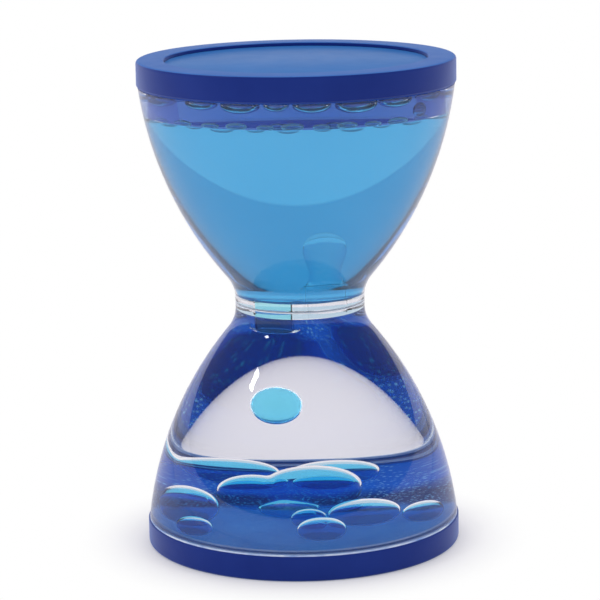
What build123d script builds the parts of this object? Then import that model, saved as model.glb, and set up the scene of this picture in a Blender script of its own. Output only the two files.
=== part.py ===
from build123d import *
import os
from math import atan2, cos, degrees, hypot, radians, sin, sqrt

# A liquid motion timer stands on its lower end cap, with its axis along +Z and its origin at the
# centre of the face that it rests on. Its two nozzles lie side by side along X. The upper half is
# the lower half turned over, so most pieces are drawn once, at the lower end. Millimetres.

# Whole timer
total_height = 90.0

# End caps: moulded discs with a shallow recess outside and a groove for the bulb inside
cap_radius = 29.0
cap_side = 4.6
cap_outer_round = 0.6
cap_inner_round = 0.25
recess_margin = 5.0
recess_depth = 1.5

# Cover discs that close the recesses
cover_thickness = 0.8
cover_gap = 0.12
cover_edge_round = 0.15

# Bulbs: a straight neck, a hollow fillet, then one long belly arc down to the rim
neck_radius = 11.9
neck_straight = 1.6
neck_fillet = 6.5
belly_radius = 68.0
wall = 3.6
cap_overhang = 0.25

# Tongue on each bulb's rim, and the cement that fills the cap's groove around it
tongue_thickness = 1.4
tongue_length = 1.5
groove_ease = 0.15
bond_line = 0.25

# Clear divider that the two necks trap between them, and the cement of the neck joint
divider_thickness = 3.0
divider_ledge = 1.6
divider_ease = 0.05
neck_bond = 0.1

# Nozzles: one tube used twice, once each way up, with a wider skirt outside the divider
nozzle_offset = 3.4
nozzle_radius = 3.1
nozzle_skirt_radius = 3.35
nozzle_bore = 2.5
nozzle_reach = 5.0
nozzle_lip_bevel = 0.3
nozzle_ease = 0.02

# Filler hole in the top cap, and its stopper
filler_radius = 1.6
filler_ease = 0.03
stopper_head_radius = 2.7
stopper_head_height = 0.8
stopper_head_ease = 0.1

# Liquids: the clear oil above the dyed fluid, and the thin shell left round each moving drop
oil_depth = 4.9
drop_ease = 0.25

# Falling drop of dyed fluid, below the down nozzle, part of the way down the free height
falling_radius = 3.55
falling_half_height = 3.15
falling_height_share = 0.477

# Rising drop of oil: a foot on the up nozzle, a thin stalk and a round head
rising_seat_gap = 0.2
rising_foot_radius = 2.95
rising_stalk_radius = 2.1
rising_head_radius = 2.95
rising_height = 10.4
rising_stalk_height_share = 0.27

# Drops of dyed fluid that have settled on the lower cap. Shares of the chamber's floor radius:
# centre x, centre y, radius and height.
settled_drop_shares = [
    (-0.70, -0.45, 0.139, 0.097),
    (0.11, -0.585, 0.155, 0.123),
    (0.03, -0.27, 0.104, 0.100),
    (0.34, -0.195, 0.210, 0.123),
    (0.715, -0.195, 0.155, 0.097),
    (-0.67, -0.09, 0.214, 0.195),
    (-0.25, 0.74, 0.165, 0.115),
    (0.115, 0.70, 0.178, 0.115),
]

# Large settled pool, where three drops have run together, in the same shares
settled_pool_shares = [
    (-0.235, 0.215, 0.187, 0.183),
    (0.04, 0.265, 0.243, 0.220),
    (-0.075, 0, 0.163, 0.080),
]

# How much of a resting drop's whole ellipse is left above the face that it rests on
resting_ellipse_share = 0.62

# Small oil drops that have risen and lie under the oil. Shares of the oil's radius at its foot:
# centre x, centre y, radius and height.
risen_drop_shares = [
    (-0.80, -0.28, 0.066, 0.028),
    (-0.66, -0.52, 0.054, 0.024),
    (-0.49, -0.69, 0.080, 0.034),
    (-0.27, -0.80, 0.060, 0.026),
    (-0.06, -0.85, 0.072, 0.032),
    (0.17, -0.83, 0.056, 0.024),
    (0.36, -0.76, 0.078, 0.036),
    (0.55, -0.64, 0.060, 0.026),
    (0.73, -0.42, 0.074, 0.030),
    (-0.55, 0.62, 0.070, 0.030),
    (0.10, 0.84, 0.062, 0.026),
    (0.60, 0.55, 0.072, 0.032),
]

# Air bubbles that lie under the top cap, in shares of the chamber's ceiling radius, and a round one
# beside them: its centre in the same shares, with its height as a share of the oil's depth
air_bubble_shares = [
    (-0.80, -0.195, 0.127, 0.088),
    (-0.59, -0.58, 0.115, 0.080),
    (-0.355, -0.745, 0.130, 0.092),
    (-0.13, -0.825, 0.084, 0.075),
    (0.095, -0.825, 0.124, 0.088),
    (0.375, -0.74, 0.140, 0.100),
    (0.61, -0.565, 0.120, 0.085),
    (0.79, -0.30, 0.104, 0.075),
    (-0.50, 0.62, 0.120, 0.085),
    (0.02, 0.80, 0.110, 0.080),
    (0.52, 0.60, 0.130, 0.090),
]
round_bubble_radius = 1.35
round_bubble_half_height = 1.3
round_bubble_shares = (0.758, -0.42, 0.367)

# Overrun of the cutting shapes
overrun = 1.0

# Heights and radii that follow from the sizes above
middle = total_height / 2
rim_height = cap_side + bond_line
tongue_foot = rim_height - tongue_length
groove_floor = tongue_foot - groove_ease
recess_radius = cap_radius - recess_margin
divider_low = middle - divider_thickness / 2
divider_high = middle + divider_thickness / 2
divider_seat_radius = neck_radius - wall + divider_ledge
down_mouth = divider_low - nozzle_reach
up_mouth = divider_high + nozzle_reach
oil_foot = cap_side + oil_depth
falling_middle = cap_side + (divider_low - cap_side) * falling_height_share
stopper_seat = recess_depth + stopper_head_ease + stopper_head_height

# The belly arc meets the neck fillet smoothly and ends at the rim. Its centre is where a circle about
# the fillet's centre crosses a circle about the rim's edge.
fillet_centre = (neck_radius + neck_fillet, middle - neck_straight / 2)
rim_edge = (cap_radius - cap_overhang, rim_height)
rim_span = hypot(rim_edge[0] - fillet_centre[0], rim_edge[1] - fillet_centre[1])
along = (rim_span**2 + (belly_radius + neck_fillet) ** 2 - belly_radius**2) / (2 * rim_span)
across = sqrt((belly_radius + neck_fillet) ** 2 - along**2)
rim_way = ((rim_edge[0] - fillet_centre[0]) / rim_span, (rim_edge[1] - fillet_centre[1]) / rim_span)
belly_centre = (
    fillet_centre[0] + along * rim_way[0] + across * rim_way[1],
    fillet_centre[1] + along * rim_way[1] - across * rim_way[0],
)
lean = degrees(atan2(fillet_centre[1] - belly_centre[1], fillet_centre[0] - belly_centre[0]))


def upside_down(solid):
    """The same piece at the upper end of the timer."""
    return mirror(solid, about=Plane.XY.offset(middle))


def turned(outline):
    """An outline of edges in (distance from the axis, height), turned once about the axis."""
    return revolve(Plane.XZ * make_face(outline), axis=Axis.Z)


def disc(radius, low, high):
    """A plain round disc on the axis, between two heights."""
    bottom_up = (Align.CENTER, Align.CENTER, Align.MIN)
    return Pos(0, 0, low) * Cylinder(radius, high - low, align=bottom_up)


def ring(inner, outer, low, high):
    """A plain ring on the axis, between two heights."""
    return disc(outer, low, high) - disc(inner, low, high)


def round_arc(centre, radius, start, end):
    """An arc about a centre, between two angles in degrees."""
    spots = [
        (centre[0] + radius * cos(radians(angle)), centre[1] + radius * sin(radians(angle)))
        for angle in (start, (start + end) / 2, end)
    ]
    return ThreePointArc(*spots)


def belly_reach(inset, height):
    """The distance of the belly from the axis at a height, moved inwards by an inset."""
    return belly_centre[0] + sqrt((belly_radius - inset) ** 2 - (height - belly_centre[1]) ** 2)


def bulb_line(inset, low, high):
    """The lower bulb's outline from a height in the neck down to one on the belly, moved inwards."""
    neck = neck_radius - inset
    foot_angle = degrees(atan2(low - belly_centre[1], belly_reach(inset, low) - belly_centre[0]))
    return [
        Line((neck, high), (neck, fillet_centre[1])),
        round_arc(fillet_centre, neck_fillet + inset, 180, 180 + lean),
        round_arc(belly_centre, belly_radius - inset, lean, foot_angle),
    ]


def chamber(low):
    """The room inside the lower bulb, from a height on the belly up to the divider."""
    corners = [(belly_reach(wall, low), low), (0, low), (0, middle), (neck_radius - wall, middle)]
    room = turned(bulb_line(wall, low, middle) + Polyline(*corners).edges())
    return room - disc(cap_radius, divider_low, middle + overrun)


def egg(radius, half_height):
    """A drop that floats free, a little flatter than a ball, with its middle at the origin."""
    side = half_height**2 / radius
    crown = ((radius - side) ** 2 + half_height**2 - side**2) / (2 * (half_height - side))
    turn = degrees(atan2(crown - half_height, radius - side))
    outline = [
        round_arc((0, half_height - crown), crown, 90, turn),
        round_arc((radius - side, 0), side, turn, -turn),
        round_arc((0, crown - half_height), crown, -turn, -90),
        Line((0, -half_height), (0, half_height)),
    ]
    return turned(outline)


def resting_drop(shares, reach, floor):
    """A flattened drop on a floor, with a flat foot. Its shares are of the reach given."""
    x, y, radius, height = (share * reach for share in shares)
    half_height = height * resting_ellipse_share
    drop = Pos(0, 0, floor + height - half_height) * egg(radius, half_height)
    return Pos(x, y, 0) * (drop - disc(cap_radius, floor - cap_radius, floor))


floor_reach = belly_reach(wall, cap_side)
tongue_middle = (belly_reach(wall, rim_height) + rim_edge[0]) / 2
tongue_inner = tongue_middle - tongue_thickness / 2
tongue_outer = tongue_middle + tongue_thickness / 2


def end_cap():
    """The lower end cap, with its recess below and the groove for the bulb's tongue above."""
    cap = disc(cap_radius, 0, cap_side)
    round_edges = cap.edges().filter_by(GeomType.CIRCLE).sort_by(Axis.Z)
    cap = fillet(round_edges[0], cap_outer_round)
    cap = fillet(cap.edges().filter_by(GeomType.CIRCLE).sort_by(Axis.Z)[-1], cap_inner_round)
    cap -= disc(recess_radius, -overrun, recess_depth)
    cap -= ring(tongue_inner - groove_ease, tongue_outer + groove_ease, groove_floor, cap_side + overrun)
    return cap


def filler_hole():
    """The cut for the filler hole and for the head of its stopper, at the lower end."""
    bore = disc(filler_radius, recess_depth - overrun, cap_side + overrun)
    seat = disc(stopper_head_radius + stopper_head_ease, recess_depth - overrun, stopper_seat)
    return bore + seat


def stopper():
    """The soft stopper: a stem that fills the hole, and a head that lies in its seat."""
    head = disc(stopper_head_radius, recess_depth + stopper_head_ease, stopper_seat)
    stem = disc(filler_radius - filler_ease, stopper_seat, cap_side)
    return head + stem


def cover_disc():
    """The smooth disc glued into the recess, a little below the cap's rim."""
    cover = disc(recess_radius - cover_gap, recess_depth - cover_thickness, recess_depth)
    return fillet(cover.edges().sort_by(Axis.Z)[0], cover_edge_round)


def bond_ring():
    """The cement between the bulb's rim and the cap, and round the tongue in its groove."""
    seam = ring(floor_reach, rim_edge[0], cap_side, rim_height)
    filled_groove = ring(tongue_inner - groove_ease, tongue_outer + groove_ease, groove_floor, cap_side)
    return seam + filled_groove - ring(tongue_inner, tongue_outer, tongue_foot, rim_height)


def bulb():
    """The lower bulb: a clear flared wall, with its tongue below and the divider's seat above."""
    seam = middle - neck_bond / 2
    rim_corners = [
        rim_edge,
        (tongue_outer, rim_height),
        (tongue_outer, tongue_foot),
        (tongue_inner, tongue_foot),
        (tongue_inner, rim_height),
        (belly_reach(wall, rim_height), rim_height),
    ]
    outline = bulb_line(0, rim_height, seam) + Polyline(*rim_corners).edges()
    outline += bulb_line(wall, rim_height, seam)
    outline.append(Line((neck_radius - wall, seam), (neck_radius, seam)))
    return turned(outline) - disc(divider_seat_radius, divider_low, middle)


def divider():
    """The clear disc between the two chambers, with a hole for each nozzle."""
    plate = disc(divider_seat_radius - divider_ease, divider_low, divider_high)
    hole = disc(nozzle_radius + nozzle_ease, divider_low - overrun, divider_high + overrun)
    return plate - Pos(-nozzle_offset, 0, 0) * hole - Pos(nozzle_offset, 0, 0) * hole


def nozzle():
    """The down nozzle: a clear tube, flush with the divider above, with a skirt and a bevelled mouth."""
    tube = disc(nozzle_skirt_radius, down_mouth, divider_low) + disc(nozzle_radius, divider_low, divider_high)
    tube = chamfer(tube.edges().sort_by(Axis.Z)[0], nozzle_lip_bevel)
    tube -= disc(nozzle_bore, down_mouth - overrun, divider_high + overrun)
    return Pos(-nozzle_offset, 0, 0) * tube


def rising_shape(ease):
    """The rising drop as it stands on the up nozzle, made larger all round by an ease."""
    foot = up_mouth + rising_seat_gap - min(ease, rising_seat_gap)
    stalk = up_mouth + rising_height * rising_stalk_height_share
    head = up_mouth + rising_height - rising_head_radius
    side = Spline(
        (rising_foot_radius + ease, foot),
        (rising_stalk_radius + ease, stalk),
        (rising_head_radius + ease, head),
        tangents=[(-1, 1), (0, 1)],
    )
    crown = round_arc((0, head), rising_head_radius + ease, 0, 90)
    top = head + rising_head_radius + ease
    closing = Polyline((0, top), (0, foot), (rising_foot_radius + ease, foot)).edges()
    return Pos(nozzle_offset, 0, 0) * turned([side, crown, *closing])


settled_drops = [resting_drop(shares, floor_reach, cap_side) for shares in settled_drop_shares]
pool_lobes = [resting_drop(shares, floor_reach, cap_side) for shares in settled_pool_shares]
settled_pool = pool_lobes[0] + pool_lobes[1:]
ceiling_reach = belly_reach(wall, oil_foot)
risen_drops = [upside_down(resting_drop(shares, ceiling_reach, oil_foot)) for shares in risen_drop_shares]
air_bubbles = [upside_down(resting_drop(shares, floor_reach, cap_side)) for shares in air_bubble_shares]
round_bubble_x, round_bubble_y = (share * floor_reach for share in round_bubble_shares[:2])
round_bubble_middle = total_height - oil_foot + oil_depth * round_bubble_shares[2]
round_bubble = Pos(round_bubble_x, round_bubble_y, round_bubble_middle) * egg(
    round_bubble_radius, round_bubble_half_height
)
falling_drop = Pos(-nozzle_offset, 0, falling_middle) * egg(falling_radius, falling_half_height)


def lower_oil():
    """The clear oil that fills the lower chamber and the up nozzle, with room for every drop."""
    oil = chamber(cap_side) + Pos(nozzle_offset, 0, 0) * disc(nozzle_bore, divider_low, up_mouth)
    oil -= Pos(-nozzle_offset, 0, 0) * disc(nozzle_skirt_radius, down_mouth, divider_low)
    oil -= Pos(-nozzle_offset, 0, falling_middle) * egg(
        falling_radius + drop_ease, falling_half_height + drop_ease
    )
    for drop in [*settled_drops, settled_pool]:
        oil -= drop
    return oil


def upper_fluid():
    """The dyed fluid in the upper chamber and the down nozzle, with room for every drop of oil."""
    fluid = upside_down(chamber(oil_foot))
    fluid += Pos(-nozzle_offset, 0, 0) * disc(nozzle_bore, down_mouth, divider_high)
    fluid -= Pos(nozzle_offset, 0, 0) * disc(nozzle_skirt_radius, divider_high, up_mouth)
    fluid -= rising_shape(drop_ease)
    for drop in risen_drops:
        fluid -= drop
    return fluid


def upper_oil():
    """The clear oil between the dyed fluid and the top cap, with its air bubbles left hollow."""
    oil = upside_down(chamber(cap_side)) & disc(cap_radius, total_height - oil_foot, total_height)
    for bubble in [*air_bubbles, round_bubble]:
        oil -= bubble
    return oil


nodes = {
    "base_cap": end_cap(),
    "top_cap": upside_down(end_cap() - filler_hole()),
    "base_cover_disc": cover_disc(),
    "top_cover_disc": upside_down(cover_disc()),
    "filler_stopper": upside_down(stopper()),
    "lower_bulb": bulb(),
    "upper_bulb": upside_down(bulb()),
    "base_bond_ring": bond_ring(),
    "top_bond_ring": upside_down(bond_ring()),
    "neck_bond_ring": ring(divider_seat_radius, neck_radius, middle - neck_bond / 2, middle + neck_bond / 2),
    "flow_divider": divider(),
    "down_nozzle": nozzle(),
    "up_nozzle": Rot(0, 0, 180) * upside_down(nozzle()),
    "upper_oil": upper_oil(),
    "upper_fluid": upper_fluid(),
    "lower_oil": lower_oil(),
    "falling_drop": falling_drop,
    "rising_oil_drop": rising_shape(0),
    "risen_oil_drops": Compound(children=risen_drops),
    "settled_pool": settled_pool,
}
for number, drop in enumerate(settled_drops, start=1):
    nodes[f"settled_drop_{number}"] = drop

os.makedirs("parts", exist_ok=True)
for name, solid in nodes.items():
    export_step(solid, f"parts/{name}.step")
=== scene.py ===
import bmesh
import bpy
from math import asin, atan2, cos, degrees, hypot, pi, radians, sin, sqrt
from mathutils import Matrix, Vector
from mathutils.geometry import interpolate_bezier


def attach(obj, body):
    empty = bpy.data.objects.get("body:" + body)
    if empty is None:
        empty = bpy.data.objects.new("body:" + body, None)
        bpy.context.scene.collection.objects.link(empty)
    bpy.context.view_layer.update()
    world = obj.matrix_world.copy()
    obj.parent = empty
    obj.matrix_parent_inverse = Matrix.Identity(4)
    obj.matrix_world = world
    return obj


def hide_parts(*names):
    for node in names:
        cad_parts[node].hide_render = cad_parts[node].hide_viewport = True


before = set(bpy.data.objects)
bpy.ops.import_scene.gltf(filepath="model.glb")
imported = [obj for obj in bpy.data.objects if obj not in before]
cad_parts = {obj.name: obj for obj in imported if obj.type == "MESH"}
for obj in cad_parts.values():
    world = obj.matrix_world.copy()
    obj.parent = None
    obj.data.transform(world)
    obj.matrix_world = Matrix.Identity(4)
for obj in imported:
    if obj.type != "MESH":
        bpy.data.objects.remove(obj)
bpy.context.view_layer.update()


# End caps. Two like discs, injection moulded in blue plastic with a fine satin grain. Each has a
# shallow recess outside, and inside it a groove that holds the tongue of its bulb in cement.
mm = 0.001
total_height = 90.0
cap_radius, cap_side = 29.0, 4.6
cap_outer_round, cap_inner_round = 0.6, 0.25
recess_radius, recess_depth = 24.0, 1.5
groove_inner, groove_outer, groove_floor = 25.2, 26.9, 3.2


def drawn(start, *moves):
    """A closed outline in X and Z, in millimetres. A move is a point to draw a straight line to, or the
    x and z of a centre to swing about, the degrees to swing through and the number of steps."""
    bm = bmesh.new()
    first = pen = bm.verts.new((start[0], 0, start[1]))
    for move in moves:
        if len(move) == 2:
            tip = bm.verts.new((move[0], 0, move[1]))
            bm.edges.new((pen, tip))
            pen = tip
            continue
        x, z, swing, steps = move
        swept = bmesh.ops.spin(
            bm, geom=[pen], cent=(x, 0, z), axis=(0, -1, 0), angle=radians(swing), steps=steps
        )
        pen = [end for end in swept["geom_last"] if isinstance(end, bmesh.types.BMVert)][0]
    if first.co.x > 0 or pen.co.x > 0:
        bm.edges.new((pen, first))
    return bm


def turned(bm, steps=192):
    """An outline, turned once about the timer's axis and faced outwards."""
    bmesh.ops.spin(
        bm, geom=bm.verts[:] + bm.edges[:], cent=(0, 0, 0), axis=(0, 0, 1), angle=2 * pi, steps=steps,
        use_merge=True,
    )
    bmesh.ops.remove_doubles(bm, verts=bm.verts, dist=0.0005)
    bmesh.ops.recalc_face_normals(bm, faces=bm.faces)
    return bm


def upside_down(bm):
    """The same mesh at the upper end of the timer."""
    bmesh.ops.scale(bm, vec=(1, 1, -1), verts=bm.verts)
    bmesh.ops.translate(bm, vec=(0, 0, total_height), verts=bm.verts)
    bmesh.ops.recalc_face_normals(bm, faces=bm.faces)
    return bm


def finished(name, bm, finishes, node=None, body="timer", sharp=40):
    """A piece from a mesh in millimetres, smooth but for its sharp edges, riding on a body and standing
    for a node of the frame."""
    bmesh.ops.scale(bm, vec=(mm, mm, mm), verts=bm.verts)
    mesh = bpy.data.meshes.new(name)
    bm.to_mesh(mesh)
    bm.free()
    for finish in finishes:
        mesh.materials.append(finish)
    mesh.shade_smooth()
    mesh.set_sharp_from_angle(angle=radians(sharp))
    made = bpy.data.objects.new(name, mesh)
    bpy.context.scene.collection.objects.link(made)
    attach(made, body)
    if node:
        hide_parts(node)
    return made


def new_finish(name):
    """An empty material with its Principled shader, its output and the piece's own coordinates."""
    finish = bpy.data.materials.new(name)
    finish.use_nodes = True
    tree = finish.node_tree
    shader = tree.nodes["Principled BSDF"]
    place = tree.nodes.new("ShaderNodeTexCoord").outputs["Object"]
    return finish, tree, shader, place


def grain(tree, place, scale, detail=3.0):
    """Noise over a piece, with a number of waves to the metre."""
    noise = tree.nodes.new("ShaderNodeTexNoise")
    noise.inputs["Scale"].default_value = scale
    noise.inputs["Detail"].default_value = detail
    tree.links.new(place, noise.inputs["Vector"])
    return noise.outputs["Fac"]


def between(tree, share, low, high):
    """A noise or a distance spread between two numbers."""
    spread = tree.nodes.new("ShaderNodeMapRange")
    spread.inputs["To Min"].default_value = low
    spread.inputs["To Max"].default_value = high
    tree.links.new(share, spread.inputs["Value"])
    return spread.outputs["Result"]


def blended(tree, share, first, second):
    """Two colours mixed by a share."""
    mix = tree.nodes.new("ShaderNodeMix")
    mix.data_type = "RGBA"
    for socket, colour in ((mix.inputs[6], first), (mix.inputs[7], second)):
        if hasattr(colour, "links"):
            tree.links.new(colour, socket)
        else:
            socket.default_value = (*colour, 1)
    tree.links.new(share, mix.inputs[0])
    return mix.outputs[2]


def rippled(tree, shader, height, strength, depth):
    """Bumps on a shader's surface, with their depth in millimetres."""
    bump = tree.nodes.new("ShaderNodeBump")
    bump.inputs["Strength"].default_value = strength
    bump.inputs["Distance"].default_value = depth * mm
    tree.links.new(height, bump.inputs["Height"])
    tree.links.new(bump.outputs["Normal"], shader.inputs["Normal"])


def moulded(name, colour, worn, rough_low, rough_high, bump_depth, gloss=0.5):
    """Coloured plastic from a mould: faint clouds of a second tint, a fine grain and uneven gloss."""
    finish, tree, shader, place = new_finish(name)
    clouds = between(tree, grain(tree, place, 90, 5), -0.6, 1.5)
    tree.links.new(blended(tree, clouds, colour, worn), shader.inputs["Base Color"])
    tree.links.new(between(tree, grain(tree, place, 260), rough_low, rough_high), shader.inputs["Roughness"])
    rippled(tree, shader, grain(tree, place, 2600, 2), 0.35, bump_depth)
    shader.inputs["IOR"].default_value = 1.49
    shader.inputs["Specular IOR Level"].default_value = gloss
    return finish


cap_blue = moulded("cap_blue", (0.003, 0.020, 0.180), (0.006, 0.028, 0.215), 0.34, 0.46, 0.02, 0.16)
# Painted light: the flat outer face of each cap's rim is a lighter blue than its side, as the top cap's face
# is lit from above.
rim_painted_light = moulded("cap_rim_painted_light", (0.045, 0.150, 0.47), (0.055, 0.175, 0.52), 0.34, 0.46, 0.02, 0.16)

# A soft sheen pales the caps' side where it turns away.
soft = cap_blue.node_tree.nodes["Principled BSDF"].inputs
soft["Sheen Weight"].default_value = 0.7
soft["Sheen Roughness"].default_value = 0.35
soft["Sheen Tint"].default_value = (0.42, 0.55, 1.0, 1)

# The face of the cap inside the chamber is smoother, and fine beads of dyed fluid cling to it. Over the
# front part it is a lighter, swirled blue with fainter beads. Further back it is dark, and towards the rear
# it is painted lighter again: painted light.
beads_per_metre, bead_edge, bead_heart = 1900, 0.40, 0.15
zone_wander, front_blue_starts, front_blue_ends = 10.0, 4.5, 2.0
painted_light_starts, painted_light_ends = 9.0, 14.0
floor_blue, tree, shader, place = new_finish("cap_floor_blue")
beads = tree.nodes.new("ShaderNodeTexVoronoi")
beads.inputs["Scale"].default_value = beads_per_metre
tree.links.new(place, beads.inputs["Vector"])
bead = tree.nodes.new("ShaderNodeMapRange")
bead.inputs["From Min"].default_value = bead_edge
bead.inputs["From Max"].default_value = bead_heart
tree.links.new(beads.outputs["Distance"], bead.inputs["Value"])
patches = tree.nodes.new("ShaderNodeMath")
patches.operation = "MULTIPLY"
tree.links.new(bead.outputs["Result"], patches.inputs[0])
tree.links.new(between(tree, grain(tree, place, 400, 2), -0.4, 1.8), patches.inputs[1])
ways = tree.nodes.new("ShaderNodeSeparateXYZ")
tree.links.new(place, ways.inputs["Vector"])
wander = tree.nodes.new("ShaderNodeMath")
wander.operation = "MULTIPLY_ADD"
wander.inputs[1].default_value = zone_wander * mm
tree.links.new(grain(tree, place, 110, 3), wander.inputs[0])
tree.links.new(ways.outputs["Y"], wander.inputs[2])


def further(near, beyond):
    """A share that grows from none to one between two distances back from the axis."""
    zone = tree.nodes.new("ShaderNodeMapRange")
    zone.inputs["From Min"].default_value = (near + zone_wander / 2) * mm
    zone.inputs["From Max"].default_value = (beyond + zone_wander / 2) * mm
    tree.links.new(wander.outputs["Value"], zone.inputs["Value"])
    return zone.outputs["Result"]


clouds = between(tree, grain(tree, place, 90, 4), -0.4, 1.4)
dark = blended(tree, clouds, (0.003, 0.018, 0.12), (0.005, 0.035, 0.20))
# Painted light: the rear of the floor is a lighter blue than its dark middle.
painted_light_rear = blended(tree, clouds, (0.004, 0.088, 0.50), (0.008, 0.115, 0.60))
back_with_painted_light = blended(tree, further(painted_light_starts, painted_light_ends), dark, painted_light_rear)
speckled = blended(tree, patches.outputs["Value"], back_with_painted_light, (0.17, 0.43, 0.76))
swirls = between(tree, grain(tree, place, 160, 4), -0.4, 1.4)
front_blue = blended(tree, swirls, (0.010, 0.110, 0.44), (0.020, 0.155, 0.52))
front_blue = blended(tree, between(tree, patches.outputs["Value"], 0, 0.4), front_blue, (0.15, 0.42, 0.76))
tree.links.new(blended(tree, further(front_blue_ends, front_blue_starts), front_blue, speckled), shader.inputs["Base Color"])
shader.inputs["IOR"].default_value = 1.035
tree.links.new(between(tree, grain(tree, place, 300), 0.25, 0.40), shader.inputs["Roughness"])

cap_moves = [
    (recess_radius, recess_depth),
    (recess_radius, 0.15),
    (recess_radius + 0.15, 0),
    (cap_radius - cap_outer_round, 0),
    (cap_radius - cap_outer_round, cap_outer_round, 90, 6),
    (cap_radius, cap_side - cap_inner_round),
    (cap_radius - cap_inner_round, cap_side - cap_inner_round, 90, 4),
    (groove_outer, cap_side),
    (groove_outer, groove_floor),
    (groove_inner, groove_floor),
    (groove_inner, cap_side),
    (0, cap_side),
]
for end in ("base", "top"):
    cap = turned(drawn((0, recess_depth), *cap_moves))
    for face in cap.faces:
        middle_spot = face.calc_center_median()
        inside = middle_spot.z > cap_side - 0.01 and middle_spot.xy.length < groove_inner
        # The outer rim face takes the lighter blue of painted light.
        outside = middle_spot.z < 0.16 and middle_spot.xy.length > recess_radius
        face.material_index = 1 if inside else (2 if outside else 0)
    if end == "top":
        cap = upside_down(cap)
    finished(f"{end}_cap_moulding", cap, [cap_blue, floor_blue, rim_painted_light], f"{end}_cap")


# Cover discs. A thin smooth disc of the same blue plastic, a shade lighter, is glued into the recess
# of each cap and hides the filler hole. Its face lies a little below the cap's rim.
cover_thickness, cover_gap, cover_edge_round = 0.8, 0.12, 0.15
cover_blue = moulded("cover_blue", (0.020, 0.155, 0.47), (0.034, 0.185, 0.52), 0.28, 0.38, 0.008, 0.1)
for end in ("base", "top"):
    cover_radius = recess_radius - cover_gap
    cover_face = recess_depth - cover_thickness
    cover = turned(
        drawn(
            (0, cover_face),
            (cover_radius - cover_edge_round, cover_face),
            (cover_radius - cover_edge_round, cover_face + cover_edge_round, 90, 4),
            (cover_radius, recess_depth - 0.01),
            (0, recess_depth - 0.01),
        )
    )
    if end == "top":
        cover = upside_down(cover)
    finished(f"{end}_cover", cover, [cover_blue], f"{end}_cover_disc")


# Filler stopper. A soft plug pressed into the hole that the timer was filled through, under the top
# cover disc. Its end can be seen from below, through the oil.
stopper_soft = moulded("stopper_soft", (0.10, 0.14, 0.24), (0.14, 0.19, 0.30), 0.5, 0.7, 0.02)


def refinished(node, finish):
    """Gives a carried-over piece of the frame its finish."""
    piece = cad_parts[node]
    piece.data.materials.clear()
    piece.data.materials.append(finish)


refinished("filler_stopper", stopper_soft)


# Bulbs. Two like flared cups of thick clear acrylic, moulded and polished, with a tongue on the rim
# for the cap's groove. They are cemented neck to neck, and trap the divider between them.
neck_radius, neck_straight, neck_fillet, belly_radius = 11.9, 1.6, 6.5, 68.0
wall = 3.6
bond_line, cap_overhang = 0.25, 0.25
tongue_thickness, tongue_length = 1.4, 1.5
divider_thickness, divider_seat_radius = 3.0, 9.9
neck_bond = 0.1
oil_depth = 4.9
film = 0.02
acrylic_index, oil_index, fluid_index = 1.49, 1.44, 1.36

middle = total_height / 2
rim_height = cap_side + bond_line
divider_low = middle - divider_thickness / 2
oil_foot = cap_side + oil_depth
fillet_x, fillet_z = neck_radius + neck_fillet, middle - neck_straight / 2
rim_x = cap_radius - cap_overhang
rim_span = hypot(rim_x - fillet_x, rim_height - fillet_z)
along = (rim_span**2 + (belly_radius + neck_fillet) ** 2 - belly_radius**2) / (2 * rim_span)
across = sqrt((belly_radius + neck_fillet) ** 2 - along**2)
way_x, way_z = (rim_x - fillet_x) / rim_span, (rim_height - fillet_z) / rim_span
belly_x = fillet_x + along * way_x + across * way_z
belly_z = fillet_z + along * way_z - across * way_x
lean = degrees(atan2(fillet_z - belly_z, fillet_x - belly_x))


def belly_angle(inset, height):
    """The angle about the belly's centre at which the belly, moved inwards by an inset, has a height."""
    return degrees(asin((height - belly_z) / (belly_radius - inset)))


def belly_reach(inset, height):
    """The belly's distance from the axis at a height, moved inwards by an inset."""
    return belly_x + sqrt((belly_radius - inset) ** 2 - (height - belly_z) ** 2)


def fillet_angle(inset, height):
    """How far below level the neck's fillet, moved inwards by an inset, has a height."""
    return degrees(asin((fillet_z - height) / (neck_fillet + inset)))


def clear(name, colour, cloudy, index, see_through=1.0, wave=0.0, cover=1.0, border=None, painted_rim_share=0.0):
    """A clear material with faint clouds of a second tint. Its index is the one that a ray meets on the
    way in, over the one that it comes from. The lamps' light passes through to what lies inside. With a
    small cover, most light passes as if nothing were there. A border colour tints the grazing edges with a
    painted rim of light and shade, and a share given for that rim makes it partly diffuse and cloudy."""
    finish, tree, shader, place = new_finish(name)
    clouds = between(tree, grain(tree, place, 70, 3), -0.4, 1.4)
    tint = blended(tree, clouds, colour, cloudy)
    if border:
        facing = tree.nodes.new("ShaderNodeLayerWeight")
        facing.inputs["Blend"].default_value = 0.22
        tint = blended(tree, facing.outputs["Facing"], tint, border)
    tree.links.new(tint, shader.inputs["Base Color"])
    shader.inputs["Roughness"].default_value = 0.0
    shader.inputs["IOR"].default_value = index
    shader.inputs["Transmission Weight"].default_value = see_through
    if painted_rim_share:
        clearness = between(tree, facing.outputs["Facing"], see_through, see_through - painted_rim_share)
        tree.links.new(clearness, shader.inputs["Transmission Weight"])
    shader.inputs["Alpha"].default_value = cover
    if wave:
        rippled(tree, shader, grain(tree, place, 120, 1), 0.2, wave)
    path = tree.nodes.new("ShaderNodeLightPath")
    passing = tree.nodes.new("ShaderNodeBsdfTransparent")
    choice = tree.nodes.new("ShaderNodeMixShader")
    tree.links.new(path.outputs["Is Shadow Ray"], choice.inputs[0])
    tree.links.new(shader.outputs[0], choice.inputs[1])
    tree.links.new(passing.outputs[0], choice.inputs[2])
    tree.links.new(choice.outputs[0], tree.nodes["Material Output"].inputs["Surface"])
    return finish


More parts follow.
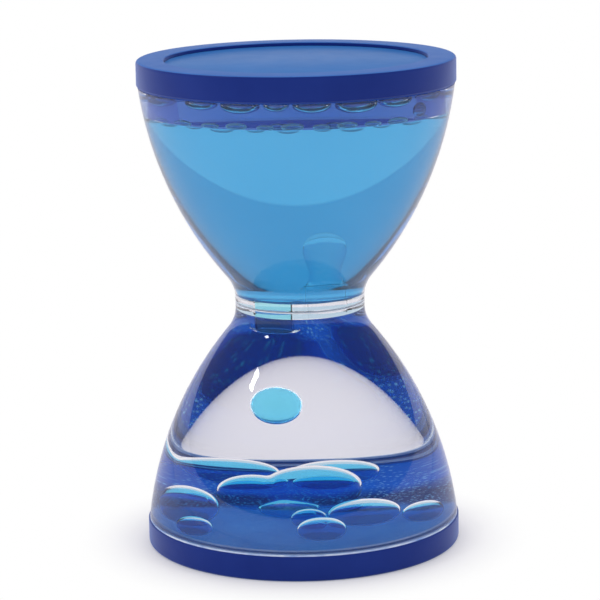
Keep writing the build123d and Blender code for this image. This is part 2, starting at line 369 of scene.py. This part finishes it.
pale, paler = (0.965, 0.970, 0.985), (0.985, 0.985, 0.995)
acrylic_in_air = clear("acrylic_outside", pale, paler, acrylic_index, wave=0.01)
acrylic_on_oil = clear("acrylic_on_oil", pale, paler, acrylic_index / oil_index)
acrylic_on_fluid = clear("acrylic_on_fluid", pale, paler, acrylic_index / fluid_index)
acrylic_bonded = clear("acrylic_bonded", pale, paler, 1.0, cover=0.02)
bulb_finishes = [acrylic_in_air, acrylic_on_oil, acrylic_on_fluid, acrylic_bonded]

tongue_middle = (belly_reach(wall, rim_height) + rim_x) / 2
tongue_inner, tongue_outer = tongue_middle - tongue_thickness / 2, tongue_middle + tongue_thickness / 2
rim_low, seam = rim_height + film, middle - neck_bond / 2 - film
inner_foot, inner_oil = belly_angle(wall, rim_low), belly_angle(wall, oil_foot)
ledge = fillet_angle(wall, divider_low)
bulb_moves = [
    (neck_radius, fillet_z),
    (fillet_x, fillet_z, lean, 14),
    (belly_x, belly_z, belly_angle(0, rim_low) - lean, 48),
    (tongue_outer, rim_low),
    (tongue_outer, rim_height - tongue_length + film),
    (tongue_inner, rim_height - tongue_length + film),
    (tongue_inner, rim_low),
    (belly_reach(wall, rim_low), rim_low),
    (belly_x, belly_z, inner_oil - inner_foot, 6),
    (belly_x, belly_z, lean - inner_oil, 42),
    (fillet_x, fillet_z, ledge - lean, 14),
    (divider_seat_radius, divider_low),
    (divider_seat_radius, seam),
]
for end in ("lower", "upper"):
    bulb = turned(drawn((neck_radius, seam), *bulb_moves))
    for face in bulb.faces:
        spot = face.calc_center_median()
        inward = face.normal.x * spot.x + face.normal.y * spot.y < 0
        if spot.z < rim_low + 0.01 or spot.z > divider_low - 0.01 and spot.xy.length < neck_radius - 0.1:
            face.material_index = 3
        elif inward:
            face.material_index = 2 if end == "upper" and spot.z > oil_foot else 1
    if end == "upper":
        bulb = upside_down(bulb)
    finished(f"{end}_bulb_wall", bulb, bulb_finishes, f"{end}_bulb")


# Cement rings. Clear cement joins each bulb's rim to its cap and the two necks to each other. It is
# near white at the neck, and pale where it was squeezed out at the lower rim, and shows there as thin lines.
# Under the top cap it takes the cap's blue.
pale_line, pale_edge = 0.5, 0.2
cement, tree, shader, place = new_finish("cement")
flat = tree.nodes.new("ShaderNodeVectorMath")
flat.operation = "MULTIPLY"
flat.inputs[1].default_value = (1, 1, 0)
reach = tree.nodes.new("ShaderNodeVectorMath")
reach.operation = "LENGTH"
tree.links.new(place, flat.inputs[0])
tree.links.new(flat.outputs["Vector"], reach.inputs[0])
edge = tree.nodes.new("ShaderNodeMapRange")
edge.inputs["From Min"].default_value = (rim_x - pale_line) * mm
edge.inputs["From Max"].default_value = (rim_x - pale_edge) * mm
tree.links.new(reach.outputs["Value"], edge.inputs["Value"])
deep = blended(tree, grain(tree, place, 200), (0.02, 0.09, 0.38), (0.03, 0.13, 0.45))
patchy = between(tree, grain(tree, place, 240), -1.2, 2.2)
squeezed = blended(tree, patchy, (0.72, 0.80, 0.92), (0.20, 0.34, 0.70))
tree.links.new(blended(tree, edge.outputs["Result"], deep, squeezed), shader.inputs["Base Color"])
tree.links.new(between(tree, grain(tree, place, 300), 0.25, 0.45), shader.inputs["Roughness"])
cement_blue = moulded("cement_over_cap", (0.010, 0.045, 0.26), (0.016, 0.060, 0.31), 0.25, 0.45, 0.01, 0.2)
refinished("base_bond_ring", cement)
refinished("top_bond_ring", cement_blue)
cement_pale = moulded("cement_at_neck", (0.90, 0.90, 0.96), (0.95, 0.95, 1.0), 0.3, 0.5, 0.01, 0.3)
refinished("neck_bond_ring", cement_pale)


# Divider and nozzles. A clear disc closes the neck between the two chambers, and two clear tubes pass
# through it side by side. The dyed fluid drips from the left one, and oil rises from the right one.
divider_radius = 9.85
nozzle_offset, nozzle_radius, nozzle_skirt_radius, nozzle_bore = 3.4, 3.1, 3.35, 2.5
nozzle_reach, lip_bevel = 5.0, 0.3
hole_radius = nozzle_radius + film
divider_top = middle + divider_thickness / 2


def tube(inner, low, high, *side):
    """A tube on the timer's axis. Its side runs from its lower lip to its top."""
    return turned(drawn((inner, low), *side, (inner, high)), 64)


def moved(bm, x):
    """The same mesh beside the timer's axis."""
    bmesh.ops.translate(bm, vec=(x, 0, 0), verts=bm.verts)
    return bm


plate = bmesh.new()
bmesh.ops.create_circle(plate, cap_ends=False, radius=divider_radius, segments=128)
for side in (-1, 1):
    hole = bmesh.ops.create_circle(plate, cap_ends=False, radius=hole_radius, segments=64)["verts"]
    bmesh.ops.translate(plate, vec=(side * nozzle_offset, 0, 0), verts=hole)
bmesh.ops.triangle_fill(plate, use_beauty=True, edges=plate.edges[:])
bmesh.ops.translate(plate, vec=(0, 0, divider_low + film), verts=plate.verts)
raised = bmesh.ops.extrude_face_region(plate, geom=plate.faces[:])["geom"]
raised = [corner for corner in raised if isinstance(corner, bmesh.types.BMVert)]
bmesh.ops.translate(plate, vec=(0, 0, divider_thickness - 2 * film), verts=raised)
bmesh.ops.recalc_face_normals(plate, faces=plate.faces)
for face in plate.faces:
    face.material_index = 3 if abs(face.normal.z) < 0.5 else (2 if face.normal.z > 0 else 1)
finished("neck_divider", plate, bulb_finishes, "flow_divider")

for side, node in ((-1, "down_nozzle"), (1, "up_nozzle")):
    pipe = tube(
        nozzle_bore, divider_low - nozzle_reach, divider_top,
        (nozzle_skirt_radius - lip_bevel, divider_low - nozzle_reach),
        (nozzle_skirt_radius, divider_low - nozzle_reach + lip_bevel),
        (nozzle_skirt_radius, divider_low),
        (nozzle_radius, divider_low),
        (nozzle_radius, divider_top),
    )
    outside, bore = (1, 2) if side < 0 else (2, 1)
    for face in pipe.faces:
        spot = face.calc_center_median()
        if spot.xy.length < nozzle_bore + 0.1 or spot.z > divider_top - 0.1 and face.normal.z > 0.5:
            face.material_index = bore
        else:
            face.material_index = outside if spot.z < divider_low + 0.01 else 3
    if side > 0:
        pipe = upside_down(pipe)
    finished(f"{node}_tube", moved(pipe, side * nozzle_offset), bulb_finishes, node)


# Dyed fluid. Water with a blue dye, a little cloudy, fills the upper bulb up to the oil, and stands in
# the bore of the down nozzle. It is drawn a hair inside the wall, so its sides don't bend light, and
# in the bore it looks pale where the clear divider lights it.
def chamber(inset, low, high):
    """The room inside a bulb, from a height on the belly up to one in the neck's fillet."""
    foot, neck = belly_angle(inset, low), fillet_angle(inset, high)
    return turned(
        drawn(
            (0, low),
            (belly_reach(inset, low), low),
            (belly_x, belly_z, lean - foot, 48),
            (fillet_x, fillet_z, neck - lean, 14),
            (0, high),
        )
    )


fluid_colour, fluid_cloudy = (0.080, 0.470, 0.82), (0.095, 0.500, 0.84)
fluid_side = clear("dyed_fluid", fluid_colour, fluid_cloudy, 1.0, 0.92)
fluid_top = clear("dyed_fluid_under_oil", fluid_colour, fluid_cloudy, fluid_index / oil_index, 0.92)
fluid = upside_down(chamber(wall + film, oil_foot + film, divider_low - film))
for face in fluid.faces:
    face.material_index = 1 if face.normal.z > 0.99 else 0
finished("dyed_fluid_body", fluid, [fluid_side, fluid_top], "upper_fluid")

down_mouth, column_radius = divider_low - nozzle_reach, nozzle_bore - film
column = tube(
    0, down_mouth, divider_top,
    (column_radius, down_mouth), (column_radius, divider_low + film), (column_radius, divider_top),
)
column = moved(column, -nozzle_offset)
for face in column.faces:
    if face.normal.z < -0.99:
        face.material_index = 1
    elif face.calc_center_median().z > divider_low:
        face.material_index = 2
deep_side = clear("fluid_in_nozzle", (0.05, 0.25, 0.80), (0.07, 0.30, 0.85), 1.0, 0.82)
lit_side = clear("fluid_in_divider", (0.46, 0.95, 1.0), (0.50, 0.97, 1.0), 1.0)
finished("nozzle_fluid", column, [deep_side, fluid_top, lit_side])


# Clear oil. It fills the lower bulb and lies in a layer under the top cap. Nothing of it shows but
# what it does to light at its borders, which its neighbours' finishes hold. The middle of the upper
# layer holds a hazy blue core, and a thin blue sheet lies along the wall at its two sides.
oil = clear("clear_oil", (0.97, 0.98, 0.99), (0.99, 0.99, 1.0), 1.0, cover=0.02)
finished("lower_oil_body", chamber(wall + 2 * film, cap_side + film, divider_low - film), [oil], "lower_oil")

layer = upside_down(
    turned(
        drawn(
            (0, cap_side + film),
            (belly_reach(wall + 2 * film, cap_side + film), cap_side + film),
            (belly_reach(wall + 2 * film, oil_foot - film), oil_foot - film),
            (0, oil_foot - film),
        )
    )
)
finished("upper_oil_layer", layer, [oil], "upper_oil")

haze_core, haze_gap = 18.6, 0.1
haze_low, haze_high = cap_side + haze_gap, oil_foot - haze_gap
hazy = clear("hazy_oil", (0.045, 0.18, 0.66), (0.075, 0.25, 0.76), 1.0, 0.75, border=(0.22, 0.36, 0.78))
haze = tube(0, haze_low, haze_high, (haze_core, haze_low), (haze_core, haze_high))
finished("haze_in_oil", upside_down(haze), [hazy])

film_gap, film_swing, film_top_gap = 0.25, 76.0, 0.6
filmed = clear("film_on_wall", (0.12, 0.26, 0.74), (0.18, 0.33, 0.80), 1.0, 0.7)
wall_film = bmesh.new()
for side in (0, 180):
    lower_edge, upper_edge = (
        wall_film.verts.new((belly_reach(wall + film_gap, height), 0, height))
        for height in (haze_high, cap_side + film_top_gap)
    )
    edge = wall_film.edges.new((lower_edge, upper_edge))
    start = Matrix.Rotation(radians(side - film_swing / 2), 3, "Z")
    bmesh.ops.rotate(wall_film, verts=[lower_edge, upper_edge], cent=(0, 0, 0), matrix=start)
    bmesh.ops.spin(
        wall_film, geom=[lower_edge, upper_edge, edge], cent=(0, 0, 0), axis=(0, 0, 1),
        angle=radians(film_swing), steps=40,
    )
finished("film_on_wall", upside_down(wall_film), [filmed])


# Drops of dyed fluid in the oil. One falls from the down nozzle, and the others have settled on the
# lower cap as flat domes, three of them run together in a larger pool.
# Painted highlight: the falling drop's grazing edges are a lighter, partly diffuse blue.
drop_blue = clear(
    "dyed_drop", (0.20, 0.78, 0.97), (0.25, 0.82, 0.98), fluid_index / oil_index,
    border=(0.30, 0.78, 0.97), painted_rim_share=0.6,
)
settled_blue = clear("settled_fluid", (0.10, 0.62, 0.92), (0.15, 0.67, 0.94), fluid_index / oil_index)


def egg(x, y, z, radius, half_height, rings=24):
    """A round drop, a little flatter than a ball."""
    bm = bmesh.new()
    bmesh.ops.create_uvsphere(bm, u_segments=2 * rings, v_segments=rings, radius=1)
    bmesh.ops.scale(bm, vec=(radius, radius, half_height), verts=bm.verts)
    bmesh.ops.translate(bm, vec=(x, y, z), verts=bm.verts)
    return bm


resting_ellipse_share = 0.62


def dome(x, y, radius, height, floor, rings=24):
    """A drop that rests on a floor, with a flat foot of the second finish, where nothing bends light."""
    half_height = height * resting_ellipse_share
    bm = egg(x, y, floor + height - half_height, radius, half_height, rings)
    cut = bmesh.ops.bisect_plane(
        bm, geom=bm.verts[:] + bm.edges[:] + bm.faces[:], plane_co=(0, 0, floor + 2 * film),
        plane_no=(0, 0, -1), clear_outer=True,
    )
    rim = [edge for edge in cut["geom_cut"] if isinstance(edge, bmesh.types.BMEdge)]
    for foot in bmesh.ops.holes_fill(bm, edges=rim, sides=0)["faces"]:
        foot.material_index = 1
    bmesh.ops.recalc_face_normals(bm, faces=bm.faces)
    return bm


falling_radius, falling_half_height, falling_height = 3.55, 3.15, 23.155
falling = egg(-nozzle_offset, 0, falling_height, falling_radius, falling_half_height, 36)
finished("falling_fluid_drop", falling, [drop_blue], "falling_drop", "falling_drop")

# Each settled drop's centre, radius and height, in shares of the chamber's floor radius
floor_reach = belly_reach(wall, cap_side)
settled = [
    (-0.70, -0.45, 0.139, 0.097),
    (0.11, -0.585, 0.155, 0.123),
    (0.03, -0.27, 0.104, 0.100),
    (0.34, -0.195, 0.210, 0.123),
    (0.715, -0.195, 0.155, 0.097),
    (-0.67, -0.09, 0.214, 0.195),
    (-0.25, 0.74, 0.165, 0.115),
    (0.115, 0.70, 0.178, 0.115),
]
for number, shares in enumerate(settled, start=1):
    x, y, radius, height = (share * floor_reach for share in shares)
    lying = dome(x, y, radius, height, cap_side)
    finished(f"settled_fluid_{number}", lying, [settled_blue, oil], f"settled_drop_{number}")


def gathered(spots, reach, floor, rings=16):
    """Many drops on a floor, as one mesh."""
    bm = bmesh.new()
    for shares in spots:
        x, y, radius, height = (share * reach for share in shares)
        one = dome(x, y, radius, height, floor, rings)
        one_mesh = bpy.data.meshes.new("one")
        one.to_mesh(one_mesh)
        one.free()
        bm.from_mesh(one_mesh)
        bpy.data.meshes.remove(one_mesh)
    return bm


pool_lobes = [(-0.235, 0.215, 0.187, 0.183), (0.04, 0.265, 0.243, 0.220), (-0.075, 0, 0.163, 0.080)]
pool = gathered(pool_lobes, floor_reach, cap_side, 20)
pool = finished("settled_fluid_pool", pool, [settled_blue], "settled_pool")
merging = pool.modifiers.new("Merging", "REMESH")
merging.mode = "VOXEL"
merging.voxel_size = 0.22 * mm
merging.use_smooth_shade = True
softening = pool.modifiers.new("Softening", "CORRECTIVE_SMOOTH")
softening.iterations = 12
softening.use_only_smooth = True


# Drops of oil in the dyed fluid. One rises from the up nozzle on its stalk, and a ring of others hangs
# under the oil layer, each with a thin skin of fluid round it. Over them the skins stand up in the oil.
# Painted shade: the oil drops' grazing edges are a darker blue than their clear middle.
oil_drop = clear(
    "oil_drop", (0.95, 0.99, 1.0), (0.98, 1.0, 1.0), oil_index / fluid_index, border=(0.20, 0.50, 0.80)
)
up_mouth = divider_top + nozzle_reach
rising_foot, rising_stalk, rising_head = up_mouth + 0.2, up_mouth + 2.81, up_mouth + 7.45
head_radius, stalk_radius = 2.95, 2.1
crown_edge, crown_tilt, lit_foot = 0.35, 0.25, 0.8
foot_side = interpolate_bezier(
    (head_radius, rising_foot), (2.3, rising_foot + 0.75), (stalk_radius - 0.03, rising_stalk - 1.2),
    (stalk_radius, rising_stalk), 10,
)
head_side = interpolate_bezier(
    (stalk_radius, rising_stalk), (stalk_radius + 0.04, rising_stalk + 1.5), (head_radius, rising_head - 2.0),
    (head_radius, rising_head), 14,
)
rising = turned(
    drawn((0, rising_foot), *[spot[:] for spot in foot_side + head_side[1:]], (0, rising_head, 90, 16)), 64
)
# Painted highlight: the top of the head and the foot take a copy of the oil drop's finish with a higher
# index, so that they show brighter.
for face in rising.faces:
    spot = face.calc_center_median()
    lit = spot.z > rising_head + crown_edge - crown_tilt * spot.y or spot.z < rising_foot + lit_foot
    face.material_index = 1 if lit else 0
oil_crown = clear("oil_drop_crown", (0.98, 1.0, 1.0), (1.0, 1.0, 1.0), 1.12)
rising = moved(rising, nozzle_offset)
finished("rising_oil", rising, [oil_drop, oil_crown], "rising_oil_drop", "rising_oil_drop", 60)

# The places of the risen drops and of the skins, in shares of the oil's radius at its foot
ceiling_reach = belly_reach(wall, oil_foot)
risen = [
    (-0.80, -0.28, 0.066, 0.028),
    (-0.66, -0.52, 0.054, 0.024),
    (-0.49, -0.69, 0.080, 0.034),
    (-0.27, -0.80, 0.060, 0.026),
    (-0.06, -0.85, 0.072, 0.032),
    (0.17, -0.83, 0.056, 0.024),
    (0.36, -0.76, 0.078, 0.036),
    (0.55, -0.64, 0.060, 0.026),
    (0.73, -0.42, 0.074, 0.030),
    (-0.55, 0.62, 0.070, 0.030),
    (0.10, 0.84, 0.062, 0.026),
    (0.60, 0.55, 0.072, 0.032),
]
risen_drops = upside_down(gathered(risen, ceiling_reach, oil_foot + film))
finished("risen_oil", risen_drops, [oil_drop, oil_drop], "risen_oil_drops")

skins = [
    (-0.86, -0.30, 0.060, 0.034),
    (-0.74, -0.52, 0.070, 0.040),
    (-0.57, -0.70, 0.064, 0.036),
    (-0.40, -0.80, 0.074, 0.044),
    (-0.21, -0.88, 0.060, 0.034),
    (-0.03, -0.89, 0.078, 0.046),
    (0.16, -0.88, 0.058, 0.034),
    (0.33, -0.83, 0.072, 0.044),
    (0.50, -0.75, 0.060, 0.036),
    (0.66, -0.62, 0.076, 0.044),
    (0.80, -0.43, 0.060, 0.034),
    (-0.12, -0.72, 0.062, 0.040),
    (0.24, -0.68, 0.066, 0.042),
]
raised_skins = gathered(skins, ceiling_reach, total_height - oil_foot)
# Painted highlight: the skins' grazing edges are a pale cyan and mostly diffuse.
skin_blue = clear(
    "skin_of_fluid", (0.34, 0.78, 0.96), (0.40, 0.82, 0.97), fluid_index / oil_index, 0.97,
    border=(0.50, 0.96, 1.0), painted_rim_share=0.9,
)
finished("skins_of_fluid", raised_skins, [skin_blue, oil])


# Air bubbles. A little air was left when the timer was filled. It lies in flat bubbles under the top
# cap, in the clear oil, with one small round bubble beside them.
air = clear("air_in_oil", (0.96, 0.99, 1.0), (0.99, 1.0, 1.0), 1.0 / oil_index)
bubbles = [
    (-0.80, -0.195, 0.127, 0.088),
    (-0.59, -0.58, 0.115, 0.080),
    (-0.355, -0.745, 0.130, 0.092),
    (-0.13, -0.825, 0.084, 0.075),
    (0.095, -0.825, 0.124, 0.088),
    (0.375, -0.74, 0.140, 0.100),
    (0.61, -0.565, 0.120, 0.085),
    (0.79, -0.30, 0.104, 0.075),
    (-0.50, 0.62, 0.120, 0.085),
    (0.02, 0.80, 0.110, 0.080),
    (0.52, 0.60, 0.130, 0.090),
]
flat_bubbles = upside_down(gathered(bubbles, floor_reach, cap_side + film))
flat_bubbles = finished("air_bubbles", flat_bubbles, [air, air])
round_bubble_spot, round_bubble_radius, round_bubble_half_height = (19.07, -10.56, 82.30), 1.35, 1.3
round_bubble = egg(*round_bubble_spot, round_bubble_radius, round_bubble_half_height)
round_bubble = finished("round_air_bubble", round_bubble, [air])


# Floor, surroundings and lamps. A pale floor, shaded under the timer and white further off, lies in an
# even pale room, which is brighter near the horizon. Four soft panels light it.
floor_half_width, floor_gap = 3000.0, 0.05
shade_near, shade_far = 22.0, 43.0
floor = bmesh.new()
bmesh.ops.create_grid(floor, x_segments=1, y_segments=1, size=floor_half_width)
bmesh.ops.translate(floor, vec=(0, 0, -floor_gap), verts=floor.verts)
bmesh.ops.scale(floor, vec=(mm, mm, mm), verts=floor.verts)
floor_mesh = bpy.data.meshes.new("floor")
floor.to_mesh(floor_mesh)
floor.free()
floor_object = bpy.data.objects.new("floor", floor_mesh)
bpy.context.scene.collection.objects.link(floor_object)
floor_white, tree, shader, place = new_finish("floor_white")
mottled = blended(tree, grain(tree, place, 3), (0.84, 0.81, 0.845), (0.87, 0.84, 0.875))
tree.links.new(mottled, shader.inputs["Base Color"])
shader.inputs["Roughness"].default_value = 0.7
flat = tree.nodes.new("ShaderNodeVectorMath")
flat.operation = "LENGTH"
tree.links.new(place, flat.inputs[0])
far = tree.nodes.new("ShaderNodeMapRange")
far.interpolation_type = "SMOOTHSTEP"
far.inputs["From Min"].default_value = shade_near * mm
far.inputs["From Max"].default_value = shade_far * mm
tree.links.new(flat.outputs["Value"], far.inputs["Value"])
path = tree.nodes.new("ShaderNodeLightPath")
seen_far = tree.nodes.new("ShaderNodeMath")
seen_far.operation = "MULTIPLY"
tree.links.new(far.outputs["Result"], seen_far.inputs[0])
tree.links.new(path.outputs["Is Camera Ray"], seen_far.inputs[1])
white = tree.nodes.new("ShaderNodeEmission")
white.inputs["Color"].default_value = (1, 1, 1, 1)
choice = tree.nodes.new("ShaderNodeMixShader")
tree.links.new(seen_far.outputs["Value"], choice.inputs[0])
tree.links.new(shader.outputs[0], choice.inputs[1])
tree.links.new(white.outputs[0], choice.inputs[2])
tree.links.new(choice.outputs[0], tree.nodes["Material Output"].inputs["Surface"])
floor_mesh.materials.append(floor_white)

band_low_degrees, band_high_degrees = 8.2, 8.6
horizon_white, room_white, camera_white = (0.92, 0.90, 0.93), (0.75, 0.76, 0.78), (1.0, 1.0, 1.0)
room_in_gloss, room_through_glass = (0.24, 0.24, 0.31), (0.52, 0.66, 0.77)
world = bpy.data.worlds.new("room")
bpy.context.scene.world = world
world.use_nodes = True
tree = world.node_tree
background = tree.nodes["Background"]
direction = tree.nodes.new("ShaderNodeTexCoord")
parts = tree.nodes.new("ShaderNodeSeparateXYZ")
tree.links.new(direction.outputs["Generated"], parts.inputs["Vector"])
height = tree.nodes.new("ShaderNodeMapRange")
height.inputs["From Min"].default_value = sin(radians(band_low_degrees))
height.inputs["From Max"].default_value = sin(radians(band_high_degrees))
tree.links.new(parts.outputs["Z"], height.inputs["Value"])
seen = tree.nodes.new("ShaderNodeLightPath")
above = blended(tree, seen.outputs["Is Glossy Ray"], room_white, room_in_gloss)
above = blended(tree, seen.outputs["Is Transmission Ray"], above, room_through_glass)
room = blended(tree, height.outputs["Result"], horizon_white, above)
room = blended(tree, seen.outputs["Is Camera Ray"], room, camera_white)
tree.links.new(room, background.inputs["Color"])


def panel(name, spot, width, height, watts, mirrored=True):
    """A soft rectangular lamp that faces the timer, and may leave a highlight on it."""
    lamp = bpy.data.lights.new(name, "AREA")
    lamp.shape = "RECTANGLE"
    lamp.size, lamp.size_y, lamp.energy = width, height, watts
    holder = bpy.data.objects.new(name, lamp)
    bpy.context.scene.collection.objects.link(holder)
    holder.location = spot
    aim = Vector((0, 0, middle * mm)) - Vector(spot)
    holder.rotation_euler = aim.to_track_quat("-Z", "Y").to_euler()
    holder.visible_glossy = mirrored
    holder.visible_transmission = False


panel("left_panel", (-0.66, -0.27, 0.70), 0.08, 0.11, 0.8)
panel("low_left_panel", (-0.60, -0.16, 0.10), 0.25, 0.2, 0.6, False)
panel("right_panel", (0.6, -0.3, 0.5), 0.2, 0.5, 0.8, False)
panel("back_panel", (0, 0.5, 0.8), 0.8, 0.4, 2.0, False)


# Camera. It stands half a metre off, looks down on the timer by about twelve degrees, and leans a
# little to one side.
eye_distance, eye_height_degrees, eye_roll_degrees = 485.0, 11.88, 1.0
focal_pixels, frame_pixels, sensor_width = 2630.0, 600.0, 36.0
eye = bpy.data.cameras.new("eye")
eye.sensor_width = sensor_width
eye.lens = sensor_width * focal_pixels / frame_pixels
eye_holder = bpy.data.objects.new("eye", eye)
bpy.context.scene.collection.objects.link(eye_holder)
rise = radians(eye_height_degrees)
eye_holder.location = (0, -eye_distance * cos(rise) * mm, (middle + eye_distance * sin(rise)) * mm)
eye_holder.rotation_euler = (pi / 2 - rise, 0, 0)
eye_holder.rotation_euler.rotate_axis("Z", radians(-eye_roll_degrees))
bpy.context.scene.camera = eye_holder
bpy.context.scene.view_settings.view_transform = "Standard"
